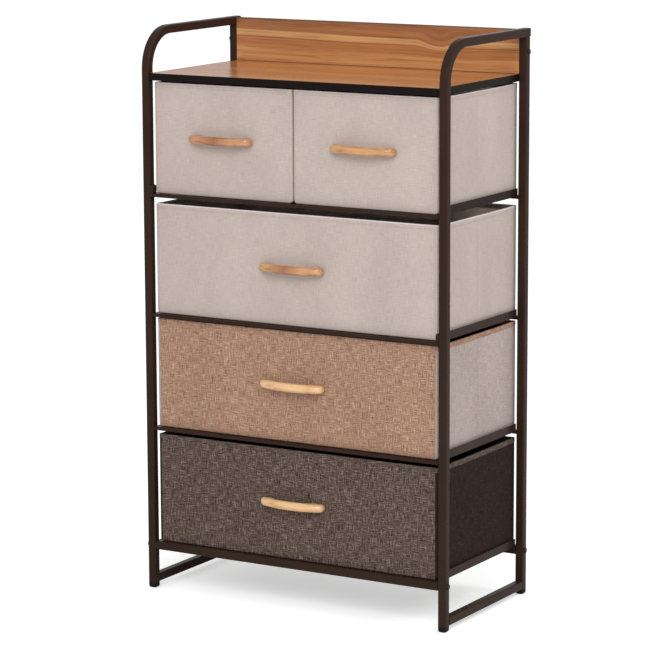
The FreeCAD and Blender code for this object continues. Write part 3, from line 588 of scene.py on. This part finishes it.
def hanging_cloth(drawer, left_bow, right_bow, seed):
    """How one drawer's cloth hangs: a function that moves a point of the flat box."""
    low, high = corners(f"{drawer}_fabric_bin")
    centre = (low + high) / 2
    half = (high - low) / 2
    height = high.z - low.z
    fold_y = centre.y + 0.004 * math.sin(seed)

    def hang(point):
        u, v = (point.x - centre.x) / half.x, (point.y - centre.y) / half.y
        w = (point.z - low.z) / height
        lift = ease((w - 0.02) / 0.14)
        near_side = ease(1 - (half.x - abs(point.x - centre.x)) / SIDE_REACH)
        near_front = ease(1 - (point.y - low.y) / END_REACH)
        near_back = ease(1 - (high.y - point.y) / END_REACH)
        slack = max(0, 1 - v ** 4)
        outwards = math.copysign(1, u)
        bow = left_bow if u < 0 else right_bow
        tall = 0.3 + 0.7 * math.sin(math.pi * min(max(w, 0), 1) ** 0.85)
        fold = FOLD_DEPTH * math.exp(-((point.y - fold_y) / FOLD_WIDTH) ** 2)
        folds_x = noise.noise(Vector((point.y * 16 + point.z * 6, point.z * 9, seed)))
        push = bow * tall - fold * (0.5 + 0.5 * w) + RIPPLE * min(1, bow / SIDE_BOW) * folds_x
        folds_y = noise.noise(Vector((point.x * 9, point.z * 7, seed + 5)))
        flatness = max(0, 1 - u ** 4) * max(0, 1 - (2 * w - 1) ** 4)
        front_push = FRONT_CROWN * flatness + 0.35 * RIPPLE * folds_y * max(0, 1 - u ** 8)
        back_push = BACK_CROWN * flatness + RIPPLE * folds_y * max(0, 1 - u ** 8)
        sag = RIM_SAG * near_side * slack + 0.6 * RIM_SAG * near_back * max(0, 1 - u ** 4)
        return Vector((
            point.x + outwards * near_side * slack * lift * push,
            point.y - near_front * lift * front_push + near_back * lift * back_push,
            point.z - sag * ease((w - 0.5) / 0.5),
        ))

    return hang, fold_y


def drape(piece, hang):
    for point in piece.data.vertices:
        point.co = hang(point.co)


def cloth_cuts(low, high, fold_y):
    """Where a drawer's cloth is cut to bend: evenly, and closer together at the fold."""
    around = [fold_y + step * MM for step in FOLD_CUTS]
    before = steps_between(low.y + 4 * MM, around[0], CLOTH_GRID)
    behind = steps_between(around[-1], high.y - 4 * MM, CLOTH_GRID)
    return steps_between(low.x, high.x, CLOTH_GRID), before + around + behind


def sewn_bin(drawer, hang, fold_y, cloths):
    """The cloth box: open on top, lined, with the side cloth sewn to the front near its ends."""
    low, high = corners(f"{drawer}_fabric_bin")
    piece = add_block(f"{drawer}_sewn_bin", low, high)
    dress(piece, [cloths["side"], cloths["front"], cloths["lining"], cloths["lining"]])
    edit()
    pick("FACE", lambda middle, normal: normal.z > 0.9)
    bpy.ops.mesh.delete(type="FACE")
    pick("EDGE", lambda middle, along: abs(along.y) > 0.9 and middle.z < low.z + TINY)
    bpy.ops.mesh.bevel(offset=BOTTOM_CORNER, segments=7, affect="EDGES")
    for end in (low.y, high.y):
        pick("EDGE", lambda middle, along: abs(middle.y - end) < TINY and middle.z < high.z - TINY)
        bpy.ops.mesh.bevel(offset=FRONT_EDGE, segments=3, affect="EDGES")
    seams = [low.x + FRONT_EDGE + BORDER, high.x - FRONT_EDGE - BORDER]
    for seam in seams:
        cut_across(AXES[0], [seam - SEAM_HALF, seam, seam + SEAM_HALF])
    pick("FACE", lambda middle, normal: normal.y < -0.2 and seams[0] < middle.x < seams[1])
    piece.active_material_index = 1
    bpy.ops.object.material_slot_assign()
    pick("EDGE", lambda middle, along: (
        middle.y < low.y + TINY and abs(along.z) > 0.9
        and min(abs(middle.x - seams[0]), abs(middle.x - seams[1])) < TINY
    ))
    bpy.ops.transform.translate(value=(0, SEAM_DEPTH, 0))
    x_cuts, y_cuts = cloth_cuts(low, high, fold_y)
    cut_across(AXES[0], x_cuts)
    cut_across(AXES[1], y_cuts)
    cut_across(AXES[2], steps_between(low.z + BOTTOM_CORNER, high.z, CLOTH_GRID))
    leave()
    lay_cloth(piece)
    drape(piece, hang)
    apply_modifier(piece, "SOLIDIFY", thickness=CLOTH_THICKNESS, offset=-1, material_offset=2)
    smooth(40)
    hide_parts(f"{drawer}_fabric_bin")
    ride(piece, drawer, cloths["front"])


def hem_band(drawer, hang, fold_y, cloths):
    """The strip of front cloth that is turned over the rim and sewn down on both sides."""
    low, high = corners(f"{drawer}_fabric_bin")
    proud = Vector((HEM_PROUD, HEM_PROUD, 0))
    bottom = Vector((low.x, low.y, high.z - HEM_HEIGHT)) - proud
    top = high + proud + Vector((0, 0, HEM_PROUD))
    piece = add_block(f"{drawer}_hem", bottom, top)
    dress(piece, [cloths["front"], cloths["fold"]])
    edit()
    pick("FACE", lambda middle, normal: abs(normal.z) > 0.9)
    bpy.ops.mesh.delete(type="FACE")
    pick("EDGE", lambda middle, along: abs(along.z) > 0.9)
    bpy.ops.mesh.bevel(offset=HEM_CORNER, segments=4, affect="EDGES")
    x_cuts, y_cuts = cloth_cuts(low, high, fold_y)
    cut_across(AXES[0], x_cuts)
    cut_across(AXES[1], y_cuts)
    cut_across(AXES[2], [high.z - STITCH_DROP, high.z - HEM_HEIGHT / 2, high.z - FOLD_LINE])
    # The rim's top takes the fold cloth, on the light drawers a lighter beige: a painted
    # highlight.
    pick("FACE", lambda middle, normal: middle.z > high.z - FOLD_LINE)
    piece.active_material_index = 1
    bpy.ops.object.material_slot_assign()
    leave()
    drape(piece, hang)
    thickness = CLOTH_THICKNESS + 1.6 * HEM_PROUD
    apply_modifier(piece, "SOLIDIFY", thickness=thickness, offset=-1)
    apply_modifier(
        piece, "BEVEL", width=HEM_SOFTNESS, segments=2,
        limit_method="ANGLE", angle_limit=math.radians(50),
    )
    lay_cloth(piece)
    smooth(50)
    ride(piece, drawer, cloths["front"])


def stitch_row(name, axis, start, end, other, height):
    """A row of like stitches along X or Y."""
    length, width, thickness = STITCH
    count = int((end - start) / STITCH_PITCH)
    first = start + ((end - start) - (count - 1) * STITCH_PITCH - length) / 2
    low = Vector((first, other - thickness / 2, height - width / 2))
    high = Vector((first + length, other + thickness / 2, height + width / 2))
    if axis == 1:
        low.x, low.y = low.y, low.x
        high.x, high.y = high.y, high.x
    row = add_block(name, low, high)
    edit()
    bpy.ops.mesh.select_all(action="SELECT")
    bpy.ops.mesh.bevel(offset=0.16 * MM, segments=1, affect="EDGES")
    leave()
    apply_modifier(
        row, "ARRAY", count=count, use_relative_offset=False, use_constant_offset=True,
        constant_offset_displace=AXES[axis] * STITCH_PITCH,
    )
    return row


def hem_stitches(drawer, hang, cloths):
    """The stitched line round the outside of the hem."""
    low, high = corners(f"{drawer}_fabric_bin")
    height = high.z - STITCH_DROP
    out = HEM_PROUD + STITCH_PROUD
    left, right = low.x + STITCH_INSET, high.x - STITCH_INSET
    front, back = low.y + STITCH_INSET, high.y - STITCH_INSET
    rows = [
        stitch_row(f"{drawer}_hem_stitches", 0, left, right, low.y - out, height),
        stitch_row("back_row", 0, left, right, high.y + out, height),
        stitch_row("left_row", 1, front, back, low.x - out, height),
        stitch_row("right_row", 1, front, back, high.x + out, height),
    ]
    bpy.ops.object.select_all(action="DESELECT")
    for row in rows:
        row.select_set(True)
    bpy.context.view_layer.objects.active = rows[0]
    bpy.ops.object.join()
    piece = rows[0]
    dress(piece, [cloths["thread"]])
    drape(piece, hang)
    smooth(60)
    ride(piece, drawer, cloths["front"])


def shaped_handle(drawer, wood):
    """A bow of wood: two feet on the drawer's front and a rounded bar that arches between them."""
    low, high = corners(f"{drawer}_handle")
    middle_x, half = (low.x + high.x) / 2, (high.x - low.x) / 2
    middle_z, half_height = (low.z + high.z) / 2, (high.z - low.z) / 2
    bow = high.y - low.y - HANDLE_END_REACH
    piece = add_block(f"{drawer}_bow_handle", low, high)
    edit()
    tips = [low.x + HANDLE_TIP, high.x - HANDLE_TIP]
    cut_across(AXES[0], tips + steps_between(*tips, HANDLE_STATION))
    leave()
    for point in piece.data.vertices:
        along = (point.co.x - middle_x) / half
        front = HANDLE_END_REACH + bow * max(0, math.cos(along * math.pi / 2)) ** 0.65
        past_foot = half - HANDLE_FOOT - abs(point.co.x - middle_x)
        back = (front - HANDLE_BAR) * ease(past_foot / HANDLE_SHOULDER)
        is_front = point.co.y < (low.y + high.y) / 2
        point.co.y = high.y - (front if is_front else back)
        plump = 1.03 - 0.13 * abs(along) ** 3
        point.co.z = middle_z + math.copysign(half_height * plump, point.co.z - middle_z)
    apply_modifier(
        piece, "BEVEL", width=HANDLE_SOFTNESS, segments=4, limit_method="ANGLE",
        angle_limit=math.radians(45), use_clamp_overlap=True,
    )
    apply_modifier(piece, "SUBSURF", levels=1, render_levels=1)
    bpy.ops.object.shade_smooth()
    piece.data.materials.append(wood)
    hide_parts(f"{drawer}_handle")
    ride(piece, drawer, "handle_wood")


# What each kind of drawer is sewn from.
LIGHT = {
    "front": "light_linen", "side": "light_linen", "lining": "beige_lining",
    # The fold cloth here is the lighter beige, a painted highlight on the rim.
    "fold": "light_fold", "thread": "pale_thread",
}
TAN = {
    "front": "tan_linen", "side": "grey_side_linen", "lining": "black_lining",
    "fold": "tan_linen", "thread": "tan_thread",
}
DARK = {
    "front": "dark_linen", "side": "dark_side_linen", "lining": "black_lining",
    "fold": "dark_linen", "thread": "dark_thread",
}

# Pale, honey and deep tone of a handle's wood
HONEY = (srgb(218, 166, 112), srgb(200, 144, 92), srgb(156, 94, 52))
PALE = (srgb(244, 202, 152), srgb(234, 186, 132), srgb(204, 148, 92))
RED_HONEY = (srgb(208, 154, 108), srgb(192, 132, 86), srgb(144, 78, 40))

# Cloths, outward bow at the left and right, handle tones, and the handle's dark patch: its place
# along the handle, its half width and its strength.
DRAWERS = {
    "top_left_drawer": (LIGHT, SIDE_BOW, NARROW_BOW, RED_HONEY, (-0.002, 0.03, 0.75)),
    "top_right_drawer": (LIGHT, NARROW_BOW, SIDE_BOW, HONEY, (0.05, 0.01, 0.2)),
    "second_drawer": (LIGHT, SIDE_BOW, SIDE_BOW, HONEY, (-0.004, 0.034, 0.95)),
    "third_drawer": (TAN, SIDE_BOW, SIDE_BOW, PALE, (0.04, 0.012, 0.3)),
    "bottom_drawer": (DARK, SIDE_BOW, SIDE_BOW, PALE, (-0.03, 0.012, 0.3)),
}


def make_drawers():
    for number, (drawer, facts) in enumerate(DRAWERS.items()):
        cloths, left_bow, right_bow, tones, patch = facts
        hang, fold_y = hanging_cloth(drawer, left_bow, right_bow, 1.7 + 2.3 * number)
        sewn_bin(drawer, hang, fold_y, cloths)
        hem_band(drawer, hang, fold_y, cloths)
        hem_stitches(drawer, hang, cloths)
        middle = middle_of(f"{drawer}_handle")
        shaped_handle(drawer, handle_wood(f"{drawer}_handle_wood", *tones, middle, patch))


def dress_cad_nodes():
    """The steel, boards, caps and screws keep their solids and get their finishes."""
    for part in frame["record"]["subparts"]:
        name = part["node"]
        slot = part["material_slot"]
        if slot in finishes:
            dress(nodes[name], [slot])
    dress(nodes["shelf_board"], ["shelf_wood"])
    darker = {f"shelf_{end}_rail": shelf_steel for end in ("front", "back", "left", "right")}
    # The top row's side runners take the darker copy of the frame coat, painted shade.
    darker.update({f"top_row_{side}_runner": shaded_runner_steel for side in ("left", "right")})
    for name, steel in darker.items():
        nodes[name].data.materials.clear()
        nodes[name].data.materials.append(steel)


def build_stage():
    """A pale floor that goes white for the camera and keeps the dresser's shadow."""
    bpy.ops.object.select_all(action="DESELECT")
    bpy.ops.mesh.primitive_plane_add(size=60, location=(0, 18, 0))
    floor = bpy.context.object
    floor.name = "floor"
    made, tree, shader = new_material("pale_floor", Roughness=0.9, Specular_IOR_Level=0.1)
    shader.inputs["Base Color"].default_value = grey(0.9)
    path = node(tree, "LightPath").outputs
    lit = arithmetic(tree, "MULTIPLY", path["Is Camera Ray"], 0.5)
    shader.inputs["Emission Color"].default_value = grey(1.0)
    tree.links.new(lit, shader.inputs["Emission Strength"])
    floor.data.materials.append(made)
    world = bpy.data.worlds.new("studio")
    bpy.context.scene.world = world
    world.use_nodes = True
    tree = world.node_tree
    tree.nodes.clear()
    path = node(tree, "LightPath").outputs
    seen = arithmetic(tree, "MAXIMUM", path["Is Camera Ray"], path["Is Transmission Ray"])
    soft = node(tree, "Background", {"Color": grey(1.0), "Strength": 0.62}).outputs[0]
    white = node(tree, "Background", {"Color": grey(1.0), "Strength": 1.0}).outputs[0]
    mixed = node(tree, "MixShader", {0: seen, 1: soft, 2: white}).outputs[0]
    node(tree, "OutputWorld", {"Surface": mixed})


dress_cad_nodes()
make_drawers()
build_stage()
place_camera()
add_lamp("key", (1.4, -3.4, 3.0), 2.2, 83)
add_lamp("side", (3.6, 0.6, 3.2), 1.6, 42)
bpy.context.scene.view_settings.view_transform = "Standard"
